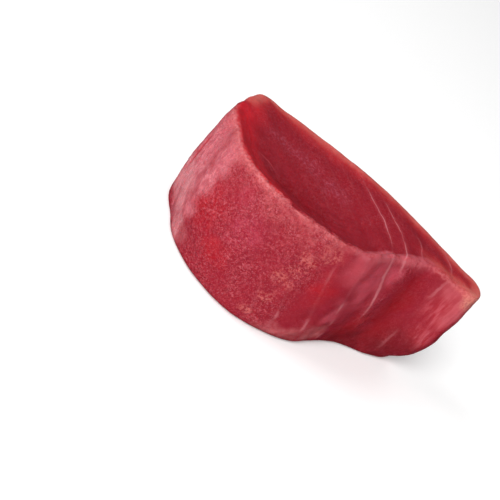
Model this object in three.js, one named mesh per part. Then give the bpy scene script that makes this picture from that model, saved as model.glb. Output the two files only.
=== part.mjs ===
// A thick raw tuna steak, cut across the loin. It lies on one cut face, with the other one up.
// Millimetres, +Z up. The origin is the middle of its box, on the surface that it rests on.
// +X runs from the blunt end to the tip, and -Y is the broad side that the knife has bowed out.
import * as THREE from "three";

// Driving sizes.
const LENGTH = 112; // blunt end to tip
const DEPTH = 72; // across the loin
const THICKNESS = 47; // between the two cut faces
const DISH_DEPTH = 6.5; // how far the upper cut face has sunk in its middle
const RIM_RADIUS = 1.8; // round the edge of the upper cut face
const FOOT_RADIUS = 3.5; // round the edge of the lower one, which the weight has pressed

// The grain of the meat: shells of muscle round an upright axis, with thin membranes between them.
const FLAKE_AXIS = new THREE.Vector2(-71, -67);
const FIRST_MEMBRANE = 4; // from the axis
const FLAKE_WIDTH = 9; // from one membrane to the next
const FLAKE_SWAY = 2; // how far a membrane strays from its shell
const FLAKE_RELIEF = 0.3; // how far a flake stands out midway between its membranes
const LUMP_SIZE = 7;
const LUMP_RELIEF = 0.35;

// Mesh density.
const AROUND = 176;
const FOOT_STEPS = 3;
const SIDE_STEPS = 13;
const RIM_STEPS = 3;
const TOP_STEPS = 11;

// Stations round the steak, counterclockwise from above, starting at the far blunt corner. rim and foot
// are places on its upper and lower outlines, as shares of LENGTH and DEPTH. swell bows the side out
// between the two, in mm. undercut is how late the side leans in towards the foot: 1 is a straight slope.
const STATIONS = [
  { rim: [-0.465, 0.34], foot: [-0.457, 0.34], swell: 0.5, undercut: 2.5 },
  { rim: [-0.491, 0.194], foot: [-0.496, 0.156], swell: 0.5, undercut: 2.5 },
  { rim: [-0.486, -0.097], foot: [-0.496, -0.01], swell: 1.5, undercut: 2.5 },
  { rim: [-0.434, -0.219], foot: [-0.435, -0.185], swell: 2.3, undercut: 2.5 },
  { rim: [-0.385, -0.365], foot: [-0.368, -0.35], swell: 1.6, undercut: 2.5 },
  { rim: [-0.275, -0.491], foot: [-0.226, -0.496], swell: 1.2, undercut: 2.5 },
  { rim: [-0.059, -0.491], foot: [-0.059, -0.53], swell: 1, undercut: 2.5 },
  { rim: [0.132, -0.365], foot: [0.128, -0.369], swell: 1.2, undercut: 2.5 },
  { rim: [0.216, -0.136], foot: [0.201, -0.175], swell: 2.4, undercut: 2.5 },
  { rim: [0.277, -0.015], foot: [0.257, -0.039], swell: 3, undercut: 2.5 },
  { rim: [0.314, 0.056], foot: [0.302, 0.024], swell: -0.5, undercut: 3 },
  { rim: [0.381, 0.081], foot: [0.354, 0.083], swell: -2, undercut: 4 },
  { rim: [0.498, 0.136], foot: [0.424, 0.204], swell: 0, undercut: 5 },
  { rim: [0.498, 0.282], foot: [0.437, 0.301], swell: 0.2, undercut: 6 },
  { rim: [0.295, 0.374], foot: [0.275, 0.36], swell: 2, undercut: 4 },
  { rim: [0, 0.457], foot: [0, 0.447], swell: 2, undercut: 2.5 },
  { rim: [-0.314, 0.374], foot: [-0.295, 0.389], swell: 1.5, undercut: 2.5 },
];

// A point inside both outlines from which all of each one is in sight, where the cut faces are closed.
const MIDDLE = new THREE.Vector2(0.1 * LENGTH, 0.2 * DEPTH);

const UP = new THREE.Vector3(0, 0, 1);
const LEVEL = 0.8; // the least upward part of a normal on the upper cut face

const MEAT = new THREE.MeshStandardMaterial({ color: 0xb23342, roughness: 0.42, metalness: 0 });

// Smooth noise in space, from -1 to 1, the same at every run. Its lumps are about size mm across.
function lumps(point, size) {
  const cell = point.clone().divideScalar(size);
  const base = cell.clone().floor();
  const part = cell.clone().sub(base);
  const corner = (i, j, k) => {
    const hash = 43758.5453 * Math.sin((base.x + i) * 127.1 + (base.y + j) * 311.7 + (base.z + k) * 74.7);
    return 2 * (hash - Math.floor(hash)) - 1;
  };
  const ease = (share) => THREE.MathUtils.smoothstep(share, 0, 1);
  const along = (j, k) => THREE.MathUtils.lerp(corner(0, j, k), corner(1, j, k), ease(part.x));
  const across = (k) => THREE.MathUtils.lerp(along(0, k), along(1, k), ease(part.y));
  return THREE.MathUtils.lerp(across(0), across(1), ease(part.z));
}

// A smooth closed curve through one place of every station.
const closedCurve = (place) => new THREE.CatmullRomCurve3(STATIONS.map(place), true, "centripetal");
const rimCurve = closedCurve(({ rim }) => new THREE.Vector3(rim[0] * LENGTH, rim[1] * DEPTH, THICKNESS));
const footCurve = closedCurve(({ foot }) => new THREE.Vector3(foot[0] * LENGTH, foot[1] * DEPTH, 0));
const profileCurve = closedCurve(({ swell, undercut }, index) => new THREE.Vector3(index, swell, undercut));

// The level direction into the steak, square to one of its outlines.
function inwardOf(curve, t) {
  const ahead = curve.getTangent(t);
  return new THREE.Vector3(-ahead.y, ahead.x, 0).normalize();
}

// The bowl that the upper cut face has sunk into, from 0 at its edge to 1 in its middle. It is steepest
// on the near side.
function bowl(x, y) {
  const across = (x + 0.11 * LENGTH) / (0.4 * LENGTH);
  const fromMiddle = y + 0.13 * DEPTH;
  const deep = fromMiddle / (fromMiddle < 0 ? 0.4 * DEPTH : 0.56 * DEPTH);
  const away = Math.min(1, across * across + deep * deep);
  return (1 - away * away) * (1 - away);
}

// One section as a list of points, from the edge of the flat foot up the side and over the rim.
function sidePoints(share) {
  const t = rimCurve.getUtoTmapping(share);
  const rim = rimCurve.getPoint(t);
  const foot = footCurve.getPoint(t);
  const inward = inwardOf(rimCurve, t);
  const footInward = inwardOf(footCurve, t);
  const { y: swell, z: undercut } = profileCurve.getPoint(t);
  const points = [];
  for (let i = 0; i <= FOOT_STEPS; i++) {
    const turn = (i / FOOT_STEPS) * (Math.PI / 2);
    const point = foot.clone().addScaledVector(footInward, FOOT_RADIUS * (1 - Math.sin(turn)));
    points.push(point.setZ(FOOT_RADIUS * (1 - Math.cos(turn))));
  }
  for (let i = 1; i < SIDE_STEPS; i++) {
    const rise = i / SIDE_STEPS;
    const point = rim.clone().lerp(foot, Math.pow(1 - rise, undercut));
    point.addScaledVector(inward, -swell * Math.sin(Math.PI * rise));
    points.push(point.setZ(THREE.MathUtils.lerp(FOOT_RADIUS, THICKNESS - RIM_RADIUS, rise)));
  }
  for (let i = 0; i <= RIM_STEPS; i++) {
    const turn = (i / RIM_STEPS) * (Math.PI / 2);
    const point = rim.clone().addScaledVector(inward, RIM_RADIUS * (1 - Math.cos(turn)));
    points.push(point.setZ(THICKNESS - RIM_RADIUS * (1 - Math.sin(turn))));
  }
  return points;
}

// The rest of that section, over the sunken cut face towards its middle.
function topPoints(from) {
  const points = [];
  for (let i = 1; i < TOP_STEPS; i++) {
    const share = i / TOP_STEPS;
    const x = THREE.MathUtils.lerp(from.x, MIDDLE.x, share);
    const y = THREE.MathUtils.lerp(from.y, MIDDLE.y, share);
    points.push(new THREE.Vector3(x, y, THICKNESS - DISH_DEPTH * bowl(x, y)));
  }
  return points;
}

// Raises the flakes and the lumps on the smooth form, square to its side and straight up on its upper
// cut face. The flat foot stays as it is.
function roughen(geometry) {
  const places = geometry.getAttribute("position");
  const normals = geometry.getAttribute("normal");
  for (let i = 0; i < places.count; i++) {
    const point = new THREE.Vector3().fromBufferAttribute(places, i);
    const across = new THREE.Vector2(point.x, point.y);
    const fromAxis = across.distanceTo(FLAKE_AXIS) + FLAKE_SWAY * lumps(point, 2 * FLAKE_WIDTH);
    const flake = Math.sin((Math.PI * (fromAxis - FIRST_MEMBRANE)) / FLAKE_WIDTH) ** 2;
    const height = FLAKE_RELIEF * (flake - 1) + LUMP_RELIEF * lumps(point, LUMP_SIZE);
    const clearOfFoot = THREE.MathUtils.smoothstep(point.z, 0, FOOT_RADIUS);
    const clearOfMiddle = THREE.MathUtils.smoothstep(across.distanceTo(MIDDLE), 0, 2 * FLAKE_WIDTH);
    const normal = new THREE.Vector3().fromBufferAttribute(normals, i);
    const outward = normal.z > LEVEL ? UP : normal;
    point.addScaledVector(outward, height * clearOfFoot * clearOfMiddle);
    places.setXYZ(i, point.x, point.y, point.z);
  }
}

// The closed surface: rings of points joined by triangles, from the flat foot to the top's middle.
function steakGeometry() {
  const points = [];
  for (let i = 0; i < AROUND; i++) {
    const side = sidePoints(i / AROUND);
    points.push(...side, ...topPoints(side[side.length - 1]));
  }
  const rings = points.length / AROUND;
  const topHeight = THICKNESS - DISH_DEPTH * bowl(MIDDLE.x, MIDDLE.y);
  const footMiddle = points.push(new THREE.Vector3(MIDDLE.x, MIDDLE.y, 0)) - 1;
  const topMiddle = points.push(new THREE.Vector3(MIDDLE.x, MIDDLE.y, topHeight)) - 1;

  const faces = [];
  for (let i = 0; i < AROUND; i++) {
    const here = i * rings;
    const next = ((i + 1) % AROUND) * rings;
    faces.push(footMiddle, next, here);
    for (let j = 0; j < rings - 1; j++) {
      faces.push(here + j, next + j, next + j + 1);
      faces.push(here + j, next + j + 1, here + j + 1);
    }
    faces.push(here + rings - 1, next + rings - 1, topMiddle);
  }

  const geometry = new THREE.BufferGeometry().setFromPoints(points);
  geometry.setIndex(faces);
  geometry.computeVertexNormals();
  roughen(geometry);
  geometry.computeBoundingBox();
  const centre = geometry.boundingBox.getCenter(new THREE.Vector3());
  geometry.translate(-centre.x, -centre.y, 0);
  geometry.computeVertexNormals();
  return geometry;
}

const steak = new THREE.Mesh(steakGeometry(), MEAT);
steak.name = "steak";

const group = new THREE.Group();
group.add(steak);

export default group;
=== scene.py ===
"""One thick raw tuna steak on a white table.

The flesh is one dense skin made from the steak's CAD solid and then carved: shells of muscle parted by
thin membranes, a crumbling rim round the sunken cut face, and a coarse grain on the broad side. The steak
lies along x, from its blunt end to its tip. Its broad side faces -y and is called near, and the other
side is called far.
"""

import math
from types import SimpleNamespace

import bmesh
import bpy
import numpy as np
from mathutils import Matrix, Vector, kdtree, noise


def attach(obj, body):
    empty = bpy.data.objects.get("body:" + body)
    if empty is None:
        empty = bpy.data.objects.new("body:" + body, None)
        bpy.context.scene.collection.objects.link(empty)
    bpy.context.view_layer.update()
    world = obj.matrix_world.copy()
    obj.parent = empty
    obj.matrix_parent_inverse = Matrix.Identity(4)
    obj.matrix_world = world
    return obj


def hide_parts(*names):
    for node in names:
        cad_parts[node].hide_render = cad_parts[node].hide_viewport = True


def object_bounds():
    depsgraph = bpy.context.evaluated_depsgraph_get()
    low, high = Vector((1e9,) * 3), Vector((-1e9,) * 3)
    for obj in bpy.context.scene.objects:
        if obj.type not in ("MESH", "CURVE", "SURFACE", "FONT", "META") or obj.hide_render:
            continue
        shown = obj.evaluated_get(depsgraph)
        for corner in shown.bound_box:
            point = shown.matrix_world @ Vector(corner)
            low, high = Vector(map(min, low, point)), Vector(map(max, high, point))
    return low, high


MM = 0.001  # all sizes below are in millimetres, and Blender's are in metres

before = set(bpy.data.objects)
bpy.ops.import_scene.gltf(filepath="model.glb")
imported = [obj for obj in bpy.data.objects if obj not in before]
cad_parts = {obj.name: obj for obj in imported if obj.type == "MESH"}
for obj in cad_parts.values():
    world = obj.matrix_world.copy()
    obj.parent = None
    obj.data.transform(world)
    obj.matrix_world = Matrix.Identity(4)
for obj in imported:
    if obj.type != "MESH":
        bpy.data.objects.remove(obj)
cad_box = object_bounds()

# ---- The skin of the steak ----
WELD = 0.01
SKIN_GRID = 0.55  # the side of one face of the dense skin
SMOOTH_PASSES = 14  # enough to take off the CAD solid's facets

# ---- The membranes ----
# Shells round an upright axis beside the steak, each at its own distance from the axis. Where a stretch
# of one shows white, it has the middle and the reach of that stretch and how white it is, from 0 to 1.
FLAKE_AXIS = (-71.0, -65.0)
MEMBRANES = {
    13.0: [],
    22.0: [],
    31.0: [],
    40.0: [],
    49.0: [],
    58.0: [],
    68.0: [],
    77.0: [((4.5, -31.7, 10.0), (3, 3, 3), 0.35)],
    89.5: [((15.0, -24.5, 11.0), (4, 4, 5), 0.35), ((11.0, -27.0, 34.0), (5, 5, 7), 0.2)],
    99.8: [
        ((20.5, -18.4, 22.5), (4, 4, 5), 0.55),
        ((21.5, -15.0, 14.5), (4, 4, 3), 0.35),
        ((21.7, -13.4, 6.0), (4, 4, 3), 0.35),
    ],
    106.0: [((23.3, -12.9, 16.0), (3, 3, 4), 0.3)],
    113.0: [((9.0, 13.0, 42.0), (21, 21, 12), 0.6), ((25.0, -8.0, 34.0), (9, 10, 25), 0.6)],
    118.8: [((15.0, 15.0, 43.0), (15, 17, 10), 0.5), ((24.0, 1.0, 44.0), (9, 10, 8), 0.8)],
    126.6: [((28.0, 11.0, 45.0), (8, 12, 8), 0.3)],
    140.2: [
        ((39.5, 18.0, 46.0), (6, 12, 7), 0.4),
        ((42.0, 8.5, 41.0), (5, 5, 8), 0.3),
        ((41.0, 9.0, 12.0), (5, 5, 8), 0.25),
    ],
    149.0: [],
    158.0: [],
}
OUTER_GAP = 9.0  # between the last membrane and the next one, which the steak doesn't reach
LEAN = 0.28  # how far a membrane leans outwards for each mm down from the cut face
LEAN_LOW = 10.0  # the height below which it stands upright
LEAN_ENDS = (114.0, 130.0)  # the distances from the axis between which the lean dies out
RIM_BEND = 4.5  # how far a membrane bends inwards at the near rim
RIM_BEND_REACH = 8.0
MEMBRANE_SWAY = 0.8  # how far a membrane strays in long waves
MEMBRANE_RIPPLE = 0.3  # and in short ones
MEMBRANE_WIDTH = 0.34  # from the middle of its line to its edge, on the cut face
SIDE_SPREAD = 2.4  # how much wider a line is on the side, where the knife met it at a slant
FAINT_WHITE = 0.05  # how white a membrane is outside the stretches above
FAR_WHITE = 0.2  # how much whiter it is on the far side

# ---- Patches of the surface that differ from the rest: the middle and the reach of each ----
PATCHES = {
    # Darker and pinker flesh on the broad side.
    "wet": [
        ((-37, -31, 24), (11, 9, 13)),
        ((-26, -35, 14), (10, 7, 9)),
        ((11, -28, 27), (8, 8, 10)),
    ],
    "pink": [((-21, -36, 29), (11, 8, 11)), ((-28, -35, 38), (7, 7, 7))],
    # The blunt end, which is pale flesh with streaks of painted sheen, and a painted grey sheen low down.
    "pale": [
        ((-52, -13, 30), (15, 22, 30)),
        ((-43, -25, 41), (12, 9, 12)),
        ((-50, -15, 14), (9, 11, 18)),
        ((-43.5, -26, 28), (7, 7, 10)),
        ((-43, -26, 18), (5, 6, 8)),
    ],
    "grey_sheen": [((-49, -17, 16), (8, 11, 12)), ((-43, -23, 6), (9, 9, 9)), ((-54, -9, 15), (6, 11, 14))],
    # The upper edge of the broad side, which has dried a little.
    "dry": [((-1, -32, 42), (9, 6, 6)), ((-18, -35, 43), (11, 6, 5))],
    # A line of crumbs up the broad side, and a few on the tip.
    "crumbs": [
        ((-4.2, -35.2, 5.6), (5.0, 4, 4.0)),
        ((-2.5, -34.3, 14.0), (4.0, 4, 5.0)),
        ((-1.0, -33.7, 22.9), (5.0, 4, 5.0)),
        ((0.2, -33.0, 28.5), (4.5, 4, 5.0)),
        ((1.5, -32.3, 34.5), (4.5, 4, 5.0)),
        ((6.4, -29.8, 40.0), (5.0, 4, 5.0)),
        ((51.0, 10.2, 46.0), (5.0, 4, 3.0)),
        ((55.0, 13.0, 43.0), (2.5, 4, 5.0)),
    ],
    # The hollow before the tip, darkened with painted shade; the tip; its paler end, partly pale flesh
    # and partly painted sheen; and that end's upper corner.
    "fold": [((35, 4, 28), (10, 8, 20)), ((37, 6, 12), (14, 8, 14)), ((28, -4, 10), (8, 8, 14))],
    "tip": [((51, 10, 37), (11, 6, 17)), ((50, 10, 20), (8, 6, 10))],
    "tip_end_and_sheen": [((54, 10.5, 39), (7, 6, 15)), ((48, 9, 43), (7, 6, 6))],
    "corner": [((55, 11, 45), (6, 7, 6))],
    # The bulge before the fold and the dip between it and the rim, both lightened with painted light.
    "ridge_light": [((22, -14, 34), (7, 9, 17)), ((19, -19, 20), (6, 7, 9)), ((27, -6, 40), (8, 8, 6))],
    "saddle_light": [((14, -22, 40), (10, 9, 10))],
    # Flesh by the foot darkened with painted shade, and pale flesh by the foot.
    "low": [((33, 0, 3), (17, 13, 12)), ((46, 9, 7), (18, 10, 20)), ((12, -26, 0), (16, 12, 6))],
    "sole": [((9, -28, 3), (15, 10, 7)), ((19, -18, 7), (9, 9, 7))],
    # On the cut face: a bank by the near rim with a painted red glow, the ground of a pale arc, the
    # middle darkened with painted shade, and mauve spots.
    "bank_glow": [((-34, -22, 45), (13, 9, 8)), ((-22, -27, 45), (12, 6, 7))],
    "seam": [((-33, -11, 43), (10, 6, 7))],
    "dish_shade": [((-14, -14, 42), (20, 11, 9))],
    "mauve": [((-34, 8, 43), (10, 5, 9)), ((-23, 11, 43), (12, 6, 9)), ((-8, 10, 43), (12, 7, 9))],
}
CUT_FACE_PATCHES = ("dish_shade", "mauve", "bank_glow", "seam")  # these stop at the rim
PATCH_CORE = 0.25  # the share of a patch's reach over which it is whole
RAGGED = 2.4  # how far a patch's edge strays
FAR_SIDE_CLOUDS = {"wet": 0.8, "pink": 0.5, "pale": 0.25}  # how strong each is on the far side

# ---- Where the flesh is softest, and how many passes of smoothing it takes there ----
FOLD = ((36.0, 4.5, 20.0), (22, 18, 38))  # the middle and the reach of the hollow before the tip
FOLD_HEIGHTS = (1, 5, 40, 45)  # where the smoothing starts, is whole, begins to end and has ended
FOLD_PASSES = 420
FAR_CORNER = ((-54.0, 9.0, 46.0), (9, 11, 10))  # of the blunt end
FAR_CORNER_PASSES = 16

# ---- The rim ----
RIM_SLOPE = 0.6  # the upward part of the normal along it
RIM_SLOPE_RANGE = 0.12
RIM_DROP = 6  # how far it dips below the highest point
FAR_RIM_ENDS = (-50.0, 53.0)
FAR_RIM_SIDE = 14.0  # the far rim lies beyond this in y
FAR_RIM_REACH = 6  # how far from it the skin moves with it as its waves are taken out
FAR_RIM_FADE = 12
WAVE_REACHES = (1.5, 9.0)  # the rim's line is averaged over each, and the waves are what differs

# ---- Regions that follow the form ----
# Two numbers say where a region starts or ends, softly. Four say where it starts, where it is whole,
# where it begins to end and where it has ended.
NEAR_ENDS = (4, 14)  # in y, in the middle of the steak
NEAR_SLANT = 0.16  # how much further it reaches for each mm towards the tip
CUT_FACE_HEIGHTS = (30, 36)
CUT_FACE_SLOPES = (0.7, 0.92)  # the upward part of the normal
SIDE_SLOPES = (0.3, 0.8)
SIDE_COLOUR_SLOPES = (0.6, 0.9)
BLUNT_SLOPES = (0.55, 0.8)  # the part of the normal towards the blunt end
SLEEK = (4, 9, 26, 32)  # a smoother stretch of the broad side, in x
SLEEK_TIP = (26, 34)  # past it the side is smooth up to the tip
CRUMBLING = (-44, -36, 8, 16)  # the stretch of the near rim that crumbles, in x

# ---- Relief: how far things stand out of the smooth skin, or sink into it ----
GRAIN_HEIGHT = 0.17  # the fibres' ends on a rough side
CRUMB_HEIGHT = 0.08  # what the crumbs add to it
CURL_HEIGHT = 0.05  # the dried fibres, which curl up
LUMP_HEIGHT = 0.03  # the lumps that are all over
SIDE_LUMP_HEIGHT = 0.12  # how much higher they are on the broad side
DISH_LUMP_HEIGHT = 0.1  # larger lumps on the near half of the cut face
MEMBRANE_HEIGHT = 0.1
MEMBRANE_ROUND = 0.6  # how far its raised line reaches to either side
BITE_DEPTH = 0.9  # of the bites out of the crumbling rim
CREST_INSIDE = 1.4  # how far inside the rim they lie
CREST_WIDTH = 1.6
GROOVE = (-54.4, -7.8)  # an upright crease in the blunt end
GROOVE_HEIGHTS = (14, 24, 30, 38)
GROOVE_DEPTH = 0.45
GROOVE_WIDTH = 0.8
GROOVE_SWAY = 1.6
NOTCH = ((56.5, 15.0, 25.0), (4, 4, 4))  # the middle and the reach of a bite out of the tip's edge
NOTCH_DEPTH = 1.5
FLAT_FOOT = (0, 3)  # the heights between which the relief starts

# ---- Colours that follow the rim ----
TORN = 0.35  # how ragged the edge of the cut face is where the rim crumbles
# The pale line along the near rim is partly pale crumbs and partly a painted highlight where the edge
# catches the light.
RIM_LINE_WIDTH = 1.1  # of the pale line along the near rim
RIM_LINE_LOSS = 0.55  # the share of its strength that it loses towards the tip
RIM_LINE_DIMS = (-30, -14)  # where it loses that, in x
# A pale band along the near rim: partly pale flesh and partly a painted highlight on its rounded edge.
BAND = (6, 18, 31, 40)  # a pale band along the near rim, in x
BAND_WIDTH = 2.4
BAND_INSIDE = (2.2, 3.6)  # where it ends on the cut face
UNDER_RIM_REACH = 6
UNDER_RIM_ENDS = (4, 12)  # in x
# The dish's wall and its bank by the near rim glow red with painted light, as if lit through the thin
# rim.
WALL_REACH = (4, 15)  # the bright wall of the dish: its end inside the rim, and its ends in x and in y
WALL_ENDS_X = (-26, -8)
WALL_ENDS_Y = (4, 18)
# Along the far rim the cut face is lightened with painted light, and the edge itself glows with painted
# light as if lit through.
FAR_RIM_COLOUR = (6, 14)  # where the colours of the far rim start in y
FLUSH_REACH = (2, 11)
EMBER_WIDTH = 1.6  # of the far rim's pale line, on the side
EMBER_MORE = 3.2  # how much wider it is on the cut face
EMBER_ENDS = (0.3, 1.3)  # as shares of its width
# painted shade along a crease inside the far rim
CREASE_INSIDE = 11  # a dark crease along the far rim
CREASE_WIDTH = 2
CREASE_STARTS = (8, 16)  # in y
SEAM = ((-31.3, -23.9), 13.6)  # a faint pale arc on the cut face: its centre and its radius
SEAM_SWAY = 0.4

# ---- Noise: the size of each field's lumps, and the seed that sets it apart ----
# Three sizes are those along x, y and z.
NOISE_GAIN = 1.4  # brings the noise up to a range of about -1 to 1
SEED_STEP = 17.3  # how far each seed shifts it
FIELDS = {
    "membrane sway": (14, 1),
    "membrane ripple": (4, 2),
    "faint membranes": ((24, 24, 30), 3),
    "membrane gaps": (5, 4),
    "fibres": ((1.4, 1.4, 2.6), 4),
    "grit": (1.25, 5),
    "curls": ((1.9, 1.9, 2.4), 6),
    "lumps": (4.2, 7),
    "roughness": (8, 8),
    "bites": (3.1, 9),
    "wide bites": (7, 35),
    "dish lumps": (7, 10),
    "far wet": ((16, 16, 25.6), 19),
    "far pink": ((15, 15, 24), 19),
    "far pale": ((13, 13, 20.8), 17),
    "ragged x": (6, 21),
    "ragged y": (6, 22),
    "ragged z": (6, 23),
    "groove sway": (11, 31),
    "seam sway": (5, 32),
    "torn edge": (1.9, 33),
}

# ---- Camera: the steak's middle, seen from the broad side and a little above ----
CAMERA_TARGET = Vector((0, 0, 22))
CAMERA_DISTANCE = 450.0
CAMERA_ELEVATION = 25.0
CAMERA_ROLL = 41.6
FOCAL_PIXELS = 1238.8
PICTURE_PIXELS = 500
TARGET_PIXEL = (311.7, 253.3)  # where the target stands in the picture, from its upper left corner
SENSOR_WIDTH = 36.0


def linear(hex_colour, alpha=1.0):
    """An sRGB colour, written as six hex digits, in Blender's linear values."""
    shares = [int(hex_colour[i:i + 2], 16) / 255 for i in (0, 2, 4)]
    return [s / 12.92 if s <= 0.04045 else ((s + 0.055) / 1.055) ** 2.4 for s in shares] + [alpha]


def fill(tree, node, inputs):
    """Fills a node's inputs, by name or number, with values or with other nodes' outputs."""
    for name, value in inputs.items():
        if isinstance(value, bpy.types.NodeSocket):
            tree.links.new(value, node.inputs[name])
        else:
            node.inputs[name].default_value = value


def add(tree, kind, inputs, output=0, **settings):
    """Adds a node with its settings and links, and returns one of its outputs, by name or number."""
    made = tree.nodes.new(kind)
    for name, value in settings.items():
        setattr(made, name, value)
    fill(tree, made, inputs)
    return made.outputs[output]


def ramp(low, high, values):
    """0 at low, 1 at high, and an S curve between them."""
    share = np.clip((values - low) / (high - low), 0, 1)
    return share * share * (3 - 2 * share)


def stretch(places, values):
    """0 at the first of four places, 1 from the second to the third, and 0 again at the last."""
    start, whole, ending, end = places
    return ramp(start, whole, values) * (1 - ramp(ending, end, values))


def hump(away, width):
    """1 where away is 0, falling softly to 0.37 where it is width on either side."""
    return np.exp(-(away / width) ** 2)


def field(points, name):
    """Smooth noise from about -1 to 1 at each point."""
    size, seed = FIELDS[name]
    scaled = points / np.array(size, float) + SEED_STEP * seed
    return NOISE_GAIN * np.array([noise.noise(Vector(p)) for p in scaled])


def patch(points, middle, reach, core=PATCH_CORE):
    """1 in the middle of a patch, falling softly to 0 at its reach."""
    away = np.linalg.norm((points - np.array(middle)) / np.array(reach), axis=1)
    return 1 - ramp(core, 1, away)


# ---- Geometry ----
def dense_skin(node, name):
    """A copy of a CAD node as one even skin of small faces, without the solid's facets."""
    mesh = node.data.copy()
    work = bmesh.new()
    work.from_mesh(mesh)
    bmesh.ops.remove_doubles(work, verts=work.verts, dist=WELD * MM)
    work.to_mesh(mesh)
    work.free()
    piece = bpy.data.objects.new(name, mesh)
    bpy.context.scene.collection.objects.link(piece)
    even = piece.modifiers.new("even faces", "REMESH")
    even.mode = "VOXEL"
    even.voxel_size = SKIN_GRID * MM
    soft = piece.modifiers.new("facets off", "SMOOTH")
    soft.factor = 0.5
    soft.iterations = SMOOTH_PASSES
    shaped = piece.evaluated_get(bpy.context.evaluated_depsgraph_get())
    skin = bpy.data.meshes.new_from_object(shaped)
    piece.modifiers.clear()
    piece.data = skin
    skin.name = name
    return piece


def read(mesh):
    """The mesh's points, in mm, and its normals."""
    points = np.empty(len(mesh.vertices) * 3, np.float32)
    mesh.vertices.foreach_get("co", points)
    normals = np.empty(len(mesh.vertices) * 3, np.float32)
    mesh.vertex_normals.foreach_get("vector", normals)
    return points.reshape(-1, 3) / MM, normals.reshape(-1, 3)


def write(mesh, points):
    """Moves the mesh's points to new places, in mm."""
    mesh.vertices.foreach_set("co", (points * MM).astype(np.float32).ravel())
    mesh.update()


def distance_to(points, line):
    """How far each point is from the nearest of the points that line picks out."""
    tree = kdtree.KDTree(int(line.sum()))
    for i, place in enumerate(points[line]):
        tree.insert(place, i)
    tree.balance()
    return np.array([tree.find(p)[2] for p in points])


def ease(mesh, points, share, passes):
    """Moves each point towards the mean of its neighbours, by up to half of the way in each pass."""
    ends = np.empty(len(mesh.edges) * 2, np.int32)
    mesh.edges.foreach_get("vertices", ends)
    here, there = np.append(ends[::2], ends[1::2]), np.append(ends[1::2], ends[::2])
    neighbours = np.bincount(here, minlength=len(points))
    for _ in range(passes):
        sums = np.stack([np.bincount(here, axis[there], len(points)) for axis in points.T], axis=1)
        points = points + 0.5 * share[:, None] * (sums / neighbours[:, None] - points)
    return points


def straighten(points, rim, from_rim):
    """Takes the waves out of the far rim, and leaves its section as it is."""
    first, last = FAR_RIM_ENDS
    stops = np.arange(first, last)
    runs = []
    for reach in WAVE_REACHES:
        pull = hump(stops[:, None] - rim[:, 0], reach)
        runs.append(pull @ rim / pull.sum(axis=1)[:, None])
    waves = runs[0] - runs[1]
    x = points[:, 0]
    share = hump(from_rim, FAR_RIM_REACH)
    share *= stretch((first, first + FAR_RIM_FADE, last - FAR_RIM_FADE, last), x)
    for axis in (1, 2):
        points[:, axis] -= share * np.interp(x, stops, waves[:, axis])
    return points


def soften(mesh):
    """Smooths the flesh where it is softest and evens the far rim. Returns which points are the rim."""
    points, normals = read(mesh)
    share = patch(points, *FOLD) * stretch(FOLD_HEIGHTS, points[:, 2])
    points = ease(mesh, points, share, FOLD_PASSES)
    points = ease(mesh, points, patch(points, *FAR_CORNER), FAR_CORNER_PASSES)
    height = points[:, 2]
    rim = (np.abs(normals[:, 2] - RIM_SLOPE) < RIM_SLOPE_RANGE) & (height > height.max() - RIM_DROP)
    far_rim = rim & (points[:, 1] > FAR_RIM_SIDE)
    write(mesh, straighten(points, points[far_rim], distance_to(points, far_rim)))
    return rim


def survey(points, normals, rim):
    """How much each point belongs to each region, from 0 to 1, and how far it is from the rim."""
    x, y, z = points.T
    upward = normals[:, 2]
    side = 1 - ramp(*SIDE_SLOPES, np.abs(upward))
    near = 1 - ramp(*NEAR_ENDS, y - NEAR_SLANT * x)
    return SimpleNamespace(
        x=x,
        y=y,
        z=z,
        upward=upward,
        upper=ramp(*CUT_FACE_SLOPES, upward) * ramp(*CUT_FACE_HEIGHTS, z),
        side=side,
        near=near,
        broad_side=side * near,
        far_side=side * (1 - near),
        blunt_end=side * ramp(*BLUNT_SLOPES, -normals[:, 0]),
        crumbling=near * stretch(CRUMBLING, x),
        from_rim=distance_to(points, rim),
    )


def patch_masks(points, skin):
    """How much of each patch is at each point. The far side has clouds of some of them."""
    strays = [field(points, name) for name in ("ragged x", "ragged y", "ragged z")]
    strayed = points + RAGGED * np.stack(strays, axis=1)
    masks = {
        name: np.max([patch(strayed, middle, reach) for middle, reach in places], axis=0)
        for name, places in PATCHES.items()
    }
    for name, strength in FAR_SIDE_CLOUDS.items():
        cloud = skin.far_side * strength * ramp(0.0, 0.7, field(strayed, "far " + name))
        masks[name] = np.maximum(masks[name], cloud)
    return masks


def shell_place(points, skin):
    """Where each point lies between the membranes: 2.5 is midway from membrane 2 to membrane 3."""
    away = np.hypot(skin.x - FLAKE_AXIS[0], skin.y - FLAKE_AXIS[1])
    drop = skin.z.max() - np.maximum(skin.z, LEAN_LOW)
    lean = LEAN * drop * (1 - ramp(*LEAN_ENDS, away))
    bend = RIM_BEND * skin.near * np.exp(-skin.from_rim * skin.upper / RIM_BEND_REACH)
    sway = MEMBRANE_SWAY * field(points, "membrane sway")
    sway += MEMBRANE_RIPPLE * field(points, "membrane ripple")
    radii = list(MEMBRANES)
    return np.interp(away - lean + bend + sway, radii, np.arange(len(radii)))


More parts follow.
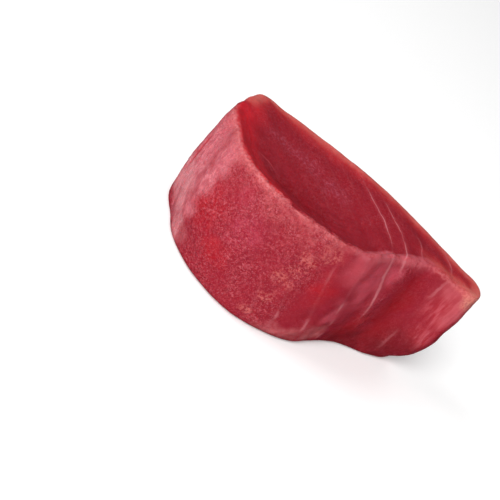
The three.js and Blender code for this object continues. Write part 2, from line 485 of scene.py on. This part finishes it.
def membrane_masks(points, skin):
    """The masks that the membranes' lines are drawn with, and how far each point is from a membrane."""
    shell = shell_place(points, skin)
    nearest = np.round(shell).astype(int)
    gaps = np.append(np.diff(list(MEMBRANES)), OUTER_GAP)
    gap = np.interp(shell, np.arange(len(gaps)) + 0.5, gaps)
    white = (FAINT_WHITE + FAR_WHITE * skin.far_side) * ramp(0.0, 0.5, field(points, "faint membranes"))
    broken = 0.7 + 0.3 * ramp(-0.5, 0.2, field(points, "membrane gaps"))
    for index, stretches in enumerate(MEMBRANES.values()):
        for middle, reach, strength in stretches:
            shown = strength * patch(points, middle, reach) * (nearest == index)
            white = np.maximum(white, shown * broken)
    width = MEMBRANE_WIDTH * (1 + (SIDE_SPREAD - 1) * skin.side)
    masks = {"shell": shell, "line_widths": gap / width, "membrane": white}
    return masks, np.abs(shell - nearest) * gap


def roughness(points, skin, masks):
    """How coarse the grain is: about 1 on the broad side, and less where the knife slid cleanly."""
    sleek = skin.broad_side * np.maximum(stretch(SLEEK, skin.x), ramp(*SLEEK_TIP, skin.x))
    sleek = np.maximum(sleek, masks["fold"])
    # Noise makes the grain 0.7 to 1.2 times as coarse, and where it has dried it is a fifth coarser.
    rough = (0.7 + 0.5 * ramp(-0.5, 0.5, field(points, "roughness"))) * (1 + 0.2 * masks["dry"])
    return rough * (1 - 0.75 * sleek) * (1 - 0.6 * skin.upper) * (1 - 0.4 * skin.far_side)


def groove_mask(points, skin):
    """How deep in the blunt end's crease each point lies, from 0 to 1."""
    sway = GROOVE_SWAY * field(points, "groove sway")
    away = np.hypot(skin.x - GROOVE[0], skin.y - GROOVE[1] - sway)
    return hump(away, GROOVE_WIDTH) * stretch(GROOVE_HEIGHTS, skin.z)


def relief(points, skin, masks, from_membrane):
    """How far each point stands out of the smooth skin."""
    # The grain is the ends of fibres, finer grit and torn fibres that curl.
    grit = field(points, "grit")
    curls = 1 - 2.4 * np.abs(field(points, "curls"))
    grain = 0.4 * field(points, "fibres") + 0.35 * grit + 0.35 * curls
    coarse = GRAIN_HEIGHT * skin.side * masks["rough"] + CRUMB_HEIGHT * masks["crumbs"]
    lumpy = LUMP_HEIGHT + SIDE_LUMP_HEIGHT * skin.broad_side * (1 - skin.blunt_end)
    height = coarse * grain + lumpy * field(points, "lumps") + CURL_HEIGHT * masks["dry"] * curls
    height += DISH_LUMP_HEIGHT * skin.upper * skin.near * field(points, "dish lumps")
    height += MEMBRANE_HEIGHT * masks["membrane"] * hump(from_membrane, MEMBRANE_ROUND)
    bites = 1.2 * field(points, "bites") + 0.8 * field(points, "wide bites") + 0.5 * grit
    inside = skin.from_rim * (2 * skin.upper - 1)  # how far inside the rim, and less than 0 down the side
    crest = skin.crumbling * hump(inside - CREST_INSIDE, CREST_WIDTH)
    height -= BITE_DEPTH * crest * np.clip(bites, 0, 1)
    height -= GROOVE_DEPTH * masks["groove"]
    height -= NOTCH_DEPTH * patch(points, *NOTCH, core=0)
    return height * ramp(*FLAT_FOOT, skin.z)


def form_masks(carved, skin):
    """The masks of the colours that follow the form. carved has the points with their relief."""
    x, y, from_rim, upper, near = skin.x, skin.y, skin.from_rim, skin.upper, skin.near
    far = ramp(*FAR_RIM_COLOUR, y)
    torn = TORN * skin.crumbling * field(carved, "torn edge")
    cut_face = ramp(*CUT_FACE_SLOPES, skin.upward + torn) * ramp(*CUT_FACE_HEIGHTS, skin.z)
    band = hump(from_rim, BAND_WIDTH)
    band += upper * (1 - ramp(*BAND_INSIDE, from_rim) - band)
    under_rim = np.exp(-from_rim / UNDER_RIM_REACH) * (1 - upper)
    wall_glow = (1 - ramp(*WALL_REACH, from_rim)) * cut_face
    ember = from_rim / (EMBER_WIDTH + EMBER_MORE * upper)
    (seam_x, seam_y), seam_radius = SEAM
    from_seam = np.hypot(x - seam_x, y - seam_y) - seam_radius + SEAM_SWAY * field(carved, "seam sway")
    return {
        "cut_face": cut_face,
        "side": 1 - ramp(*SIDE_COLOUR_SLOPES, np.abs(skin.upward)),
        "rim": hump(from_rim, RIM_LINE_WIDTH) * near * (1 - RIM_LINE_LOSS * ramp(*RIM_LINE_DIMS, x)),
        "rim_band": band * near * stretch(BAND, x),
        "under_rim": under_rim * near * (1 - ramp(*UNDER_RIM_ENDS, x)),
        "wall_glow": wall_glow * (1 - ramp(*WALL_ENDS_X, x)) * (1 - ramp(*WALL_ENDS_Y, y)),
        "lit_far_wall": upper * (1 - ramp(*FLUSH_REACH, from_rim)) * far,
        "ember": (1 - ramp(*EMBER_ENDS, ember)) * far,
        "crease_shade": hump(from_rim - CREASE_INSIDE, CREASE_WIDTH) * upper * ramp(*CREASE_STARTS, y),
        "from_seam": np.abs(from_seam),
    }


def carve(piece):
    """Gives the skin its relief, and stores on it the masks that its finish reads."""
    mesh = piece.data
    rim = soften(mesh)
    points, normals = read(mesh)
    skin = survey(points, normals, rim)
    masks, from_membrane = membrane_masks(points, skin)
    masks |= patch_masks(points, skin)
    masks["rough"] = roughness(points, skin, masks)
    masks["groove"] = groove_mask(points, skin)
    height = relief(points, skin, masks, from_membrane)

    lowest, highest = (np.array(corner) / MM for corner in cad_box)
    carved = np.clip(points + normals * height[:, None], lowest, highest)
    write(mesh, carved)

    masks |= form_masks(carved, skin)
    for name in CUT_FACE_PATCHES:
        masks[name] *= masks["cut_face"]
    for name, values in masks.items():
        mask = mesh.attributes.new(name, "FLOAT", "POINT")
        mask.data.foreach_set("value", values.astype(np.float32))
    for face in mesh.polygons:
        face.use_smooth = True
    return list(masks)


# ---- Finishes ----
# The colours of the flesh, each laid over the ones before it: the mask that it fills, the pattern that
# breaks it up, that pattern's low and high values, how much of the colour shows at each, and the colour.
DEEP_FLESH = "8f1c28"
FLESH_LAYERS = [
    ("side", "cloud", 0.35, 0.65, 0.6, 1.0, "881426"),
    ("pink", "mottle", 0.35, 0.6, 0.3, 0.85, "9c273d"),
    ("wet", "mottle", 0.35, 0.6, 0.5, 1.0, "9a0f1e"),
    ("pale", "mottle", 0.35, 0.62, 0.5, 1.0, "ca7079"),
    # streaks of painted sheen on the pale blunt end
    ("pale", "streaks", 0.48, 0.68, 0.0, 0.4, "d4868c"),
    ("pale", "fleck", 0.46, 0.6, 0.0, 0.5, "a44658"),
    # a painted grey sheen low on the blunt end
    ("grey_sheen", "streaks", 0.35, 0.6, 0.6, 1.0, "c67e84"),
    # painted light on the bulge before the fold and on the dip above it
    ("ridge_light", "cloud", 0.3, 0.7, 0.75, 0.9, "b64352"),
    ("saddle_light", "cloud", 0.3, 0.7, 0.7, 0.9, "b4434f"),
    ("sole", "mottle", 0.35, 0.6, 0.5, 1.0, "ae565a"),
    ("under_rim", "mottle", 0.35, 0.6, 0.15, 0.75, "b24f52"),
    ("dry", "mottle", 0.4, 0.6, 0.1, 0.7, "aa444a"),
    ("tip", "cloud", 0.3, 0.7, 0.5, 1.0, "9c2530"),
    # pale streaks along the tip's fibres, partly painted sheen
    ("tip", "fan", 0.42, 0.66, 0.0, 0.5, "be5862"),
    # the tip's paler end, partly pale flesh and partly painted sheen
    ("tip_end_and_sheen", "cloud", 0.3, 0.7, 0.4, 0.75, "b45058"),
    # painted shade in the hollow before the tip
    ("fold", "cloud", 0.3, 0.7, 0.8, 1.0, "900f1b"),
    # painted shade low down by the foot
    ("low", "cloud", 0.3, 0.7, 0.8, 1.0, "6c0d18"),
    ("cut_face", "cloud", 0.3, 0.7, 0.9, 1.0, "851925"),
    # painted shade in the middle of the cut face
    ("dish_shade", "cloud", 0.3, 0.7, 0.8, 1.0, "7d0e19"),
    # painted red glow on the dish's wall
    ("wall_glow", "mottle", 0.3, 0.7, 0.65, 0.95, "be1c28"),
    # painted shade along a crease inside the far rim
    ("crease_shade", "mottle", 0.3, 0.6, 0.1, 0.5, "7c1623"),
    # painted red glow on the bank by the near rim
    ("bank_glow", "mottle", 0.3, 0.7, 0.45, 0.9, "b41c28"),
    ("seam", "from_seam", 0.15, 0.7, 0.6, 0.0, "bc4c56"),
    # painted light on the far wall of the dish, and a painted glow along the far rim's edge
    ("lit_far_wall", "mottle", 0.35, 0.65, 0.7, 1.0, "b22b2f"),
    ("ember", "mottle", 0.35, 0.65, 0.7, 1.0, "c4615a"),
    ("corner", "fleck", 0.4, 0.6, 0.35, 1.0, "cc8070"),
    ("mauve", "fleck", 0.48, 0.62, 0.1, 0.6, "9e4456"),
    ("rough", "curl", 0.44, 0.5, 0.0, 0.2, "c85c66"),
    # painted shade in the furrows between the curled fibres
    ("rough", "furrow", 0.43, 0.5, 0.0, 0.32, "6a0c18"),
    ("rough", "fleck", 0.5, 0.7, 0.0, 0.34, "c25660"),
    ("rough", "speck", 0.52, 0.7, 0.0, 0.24, "ce727a"),
    ("crumbs", "fleck", 0.44, 0.62, 0.0, 0.5, "c2665f"),
    # pale crumbs and a painted highlight along the near rim's edge
    ("rim", "mottle", 0.3, 0.6, 0.2, 0.5, "b45458"),
    ("rim", "fleck", 0.42, 0.62, 0.0, 0.6, "c87678"),
    # pale flesh and a painted highlight along the rounded near rim
    ("rim_band", "mottle", 0.3, 0.6, 0.3, 0.8, "bc5660"),
    ("groove", "mottle", 0.3, 0.6, 0.8, 1.0, "a01c28"),
    ("membrane", "line widths", 0.8, 5.0, 0.3, 0.0, "bd5a64"),
    ("membrane", "line widths", 0.2, 1.1, 0.9, 0.0, "cc8086"),
]
# The patterns in the flesh: the real size of each one's spots, and what sets its noise apart. Single
# fibres are about 0.1 mm thick, too fine to show, so the specks are drawn at 0.5 mm.
SPOTS = {
    "cloud": (8.0, {"Detail": 3.0}),  # blocks of muscle with more or less blood in them
    "mottle": (2.6, {"Detail": 3.0}),  # bundles of fibres
    "fleck": (1.1, {"Detail": 3.0, "Roughness": 0.6}),  # the cut ends of small bundles
    "worms": (1.9, {"Detail": 2.5, "Distortion": 0.8}),  # torn fibres that curl
    "cracks": (1.5, {"Detail": 2.5, "Distortion": 0.6}),  # furrows between them
    "speck": (0.5, {"Detail": 2.0}),
}
LINES = {"curl": "worms", "furrow": "cracks"}  # lines where another pattern has its middle value
# Streaks in the flesh, along its fibres and as painted sheen: how far they lean outwards, and their size
# across and along them.
STREAKS = {
    "fan": (math.radians(27.5), (1.1, 7.0, 7.0)),
    "streaks": (0.0, (1.3, 1.3, 7.0)),
}
FRAY = 0.07  # how ragged a membrane's line is, as a share of the gap to the next
GRAIN_PARTS = {"speck": 0.6, "curl": 1.0, "furrow": -1.0}  # what each adds to the flecks of the grain
FINE_GRAIN_HEIGHT = 0.27


def raw_tuna(mask_names):
    """Raw tuna flesh, cut with a knife: wet, translucent dark red muscle. The fibres give it a fine
    grain, paler where they end on the side, and connective tissue shows as thin pinkish white lines."""
    finish = bpy.data.materials.new("raw tuna flesh")
    finish.use_nodes = True
    tree = finish.node_tree
    place = add(tree, "ShaderNodeTexCoord", {}, "Object")
    masks = {
        name: add(tree, "ShaderNodeAttribute", {}, "Fac", attribute_name=name) for name in mask_names
    }
    patterns = {
        name: add(tree, "ShaderNodeTexNoise", {"Vector": place, "Scale": 1 / (size * MM), **more})
        for name, (size, more) in SPOTS.items()
    }
    for name, (turn, sizes) in STREAKS.items():
        streaked = add(tree, "ShaderNodeMapping", {
            "Vector": place,
            "Rotation": (0, -turn, 0),
            "Scale": [1 / (size * MM) for size in sizes],
        })
        noise_inputs = {"Vector": streaked, "Scale": 1.0, "Detail": 2.0}
        patterns[name] = add(tree, "ShaderNodeTexNoise", noise_inputs)
    for name, source in LINES.items():
        patterns[name] = add(tree, "ShaderNodeMath", {0: patterns[source], 1: 0.5}, operation="PINGPONG")

    fray = {0: patterns["fleck"], 1: FRAY, 2: masks["shell"]}
    frayed = add(tree, "ShaderNodeMath", fray, operation="MULTIPLY_ADD")
    centred = add(tree, "ShaderNodeMath", {0: frayed, 1: FRAY / 2}, operation="SUBTRACT")
    from_line = add(tree, "ShaderNodeMath", {0: centred, 1: 0.5}, operation="PINGPONG")
    in_widths = {0: from_line, 1: masks["line_widths"]}
    patterns["line widths"] = add(tree, "ShaderNodeMath", in_widths, operation="MULTIPLY")
    patterns["from_seam"] = masks["from_seam"]

    colour = linear(DEEP_FLESH)
    for mask, pattern, low, high, at_low, at_high, tint in FLESH_LAYERS:
        levels = {0: patterns[pattern], 1: low, 2: high, 3: at_low, 4: at_high}
        broken = add(tree, "ShaderNodeMapRange", levels, interpolation_type="SMOOTHSTEP")
        masked = {0: masks[mask], 1: broken}
        share = add(tree, "ShaderNodeMath", masked, operation="MULTIPLY", use_clamp=True)
        colour = add(tree, "ShaderNodeMix", {0: share, 6: colour, 7: linear(tint)}, 2, data_type="RGBA")

    height = patterns["fleck"]
    for name, share in GRAIN_PARTS.items():
        part = {0: patterns[name], 1: share, 2: height}
        height = add(tree, "ShaderNodeMath", part, operation="MULTIPLY_ADD")
    height = add(tree, "ShaderNodeMath", {0: height, 1: masks["rough"]}, operation="MULTIPLY")
    bump = {"Strength": 1.0, "Distance": FINE_GRAIN_HEIGHT * MM, "Height": height}
    # Wet flesh has a roughness of about 0.3, and of nearly 0.5 where it has begun to dry.
    moist = add(tree, "ShaderNodeMapRange", {0: patterns["mottle"], 1: 0.3, 2: 0.7, 3: 0.32, 4: 0.48})
    fill(tree, tree.nodes["Principled BSDF"], {
        "Base Color": colour,
        "Roughness": moist,
        "IOR": 1.38,
        "Specular IOR Level": 0.25,
        "Normal": add(tree, "ShaderNodeBump", bump),
        "Subsurface Weight": 0.35,
        "Subsurface Radius": (1.0, 0.16, 0.12),
        "Subsurface Scale": 1.6 * MM,
    })
    return finish


def white_table():
    """White translucent acrylic, lit a little from below: even and matt, with only the shadow on it."""
    finish = bpy.data.materials.new("white acrylic table")
    finish.use_nodes = True
    fill(finish.node_tree, finish.node_tree.nodes["Principled BSDF"], {
        "Base Color": linear("f4f4f4"),
        "Roughness": 0.8,
        "Emission Color": linear("ffffff"),
        "Emission Strength": 0.14,
    })
    return finish


# ---- The piece ----
steak = dense_skin(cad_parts["steak"], "tuna_steak")
steak_masks = carve(steak)
steak.data.materials.clear()
steak.data.materials.append(raw_tuna(steak_masks))
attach(steak, "root")
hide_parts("steak")

# ---- Table, light and camera ----
TABLE_REACH = 3000.0  # from its middle to each of its edges
table_mesh = bpy.data.meshes.new("table")
work = bmesh.new()
bmesh.ops.create_grid(work, x_segments=1, y_segments=1, size=TABLE_REACH * MM)
work.to_mesh(table_mesh)
work.free()
table = bpy.data.objects.new("table", table_mesh)
table_mesh.materials.append(white_table())
table.visible_glossy = False
bpy.context.scene.collection.objects.link(table)


LAMP_DISTANCE = 2500


def soft_box(name, azimuth, elevation, size, strength, mirrored=True):
    """A square studio lamp that faces the steak, azimuth degrees to the left of the broad side. A white
    surface that faces it looks strength bright, where 1 is white. Wet surfaces reflect it only where
    mirrored is true."""
    turn, rise = math.radians(azimuth), math.radians(elevation)
    level = math.cos(rise)
    towards = Vector((-math.sin(turn) * level, -math.cos(turn) * level, math.sin(rise)))
    lamp = bpy.data.lights.new(name, "AREA")
    lamp.size = size * MM
    lamp.energy = strength * (math.pi * LAMP_DISTANCE * MM) ** 2
    holder = bpy.data.objects.new(name, lamp)
    holder.location = (CAMERA_TARGET + towards * LAMP_DISTANCE) * MM
    holder.rotation_mode = "QUATERNION"
    holder.rotation_quaternion = towards.to_track_quat("Z", "Y")
    holder.visible_glossy = mirrored
    bpy.context.scene.collection.objects.link(holder)


soft_box("key", azimuth=8, elevation=36, size=1500, strength=1.22)
soft_box("fill", azimuth=75, elevation=42, size=1300, strength=0.35, mirrored=False)
soft_box("back", azimuth=200, elevation=45, size=1300, strength=0.15, mirrored=False)

world = bpy.data.worlds.new("studio")
world.use_nodes = True
fill(world.node_tree, world.node_tree.nodes["Background"], {
    "Color": linear("ffffff"),
    "Strength": 0.2,
})
world.cycles_visibility.glossy = False
bpy.context.scene.world = world
bpy.context.scene.view_settings.view_transform = "Standard"


def place_camera():
    """Sets the camera by its angle, its roll and the place of its target in the picture."""
    tilt, roll = math.radians(CAMERA_ELEVATION), math.radians(CAMERA_ROLL)
    back = Vector((0, -math.cos(tilt), math.sin(tilt)))
    level_right, level_up = Vector((1, 0, 0)), Vector((0, math.sin(tilt), math.cos(tilt)))
    right = level_right * math.cos(roll) + level_up * math.sin(roll)
    up = level_up * math.cos(roll) - level_right * math.sin(roll)
    eye = CAMERA_TARGET + back * CAMERA_DISTANCE
    spread = CAMERA_DISTANCE / FOCAL_PIXELS
    aside, down = (p - PICTURE_PIXELS / 2 for p in TARGET_PIXEL)
    aim = CAMERA_TARGET - right * aside * spread + up * down * spread
    back = (eye - aim).normalized()
    right = up.cross(back).normalized()
    up = back.cross(right)
    lens = bpy.data.cameras.new("camera")
    lens.sensor_width = SENSOR_WIDTH
    lens.lens = SENSOR_WIDTH * FOCAL_PIXELS / PICTURE_PIXELS
    camera = bpy.data.objects.new("camera", lens)
    bpy.context.scene.collection.objects.link(camera)
    turn = Matrix((right, up, back)).transposed()
    camera.matrix_world = Matrix.Translation(eye * MM) @ turn.to_4x4()
    bpy.context.scene.camera = camera


place_camera()
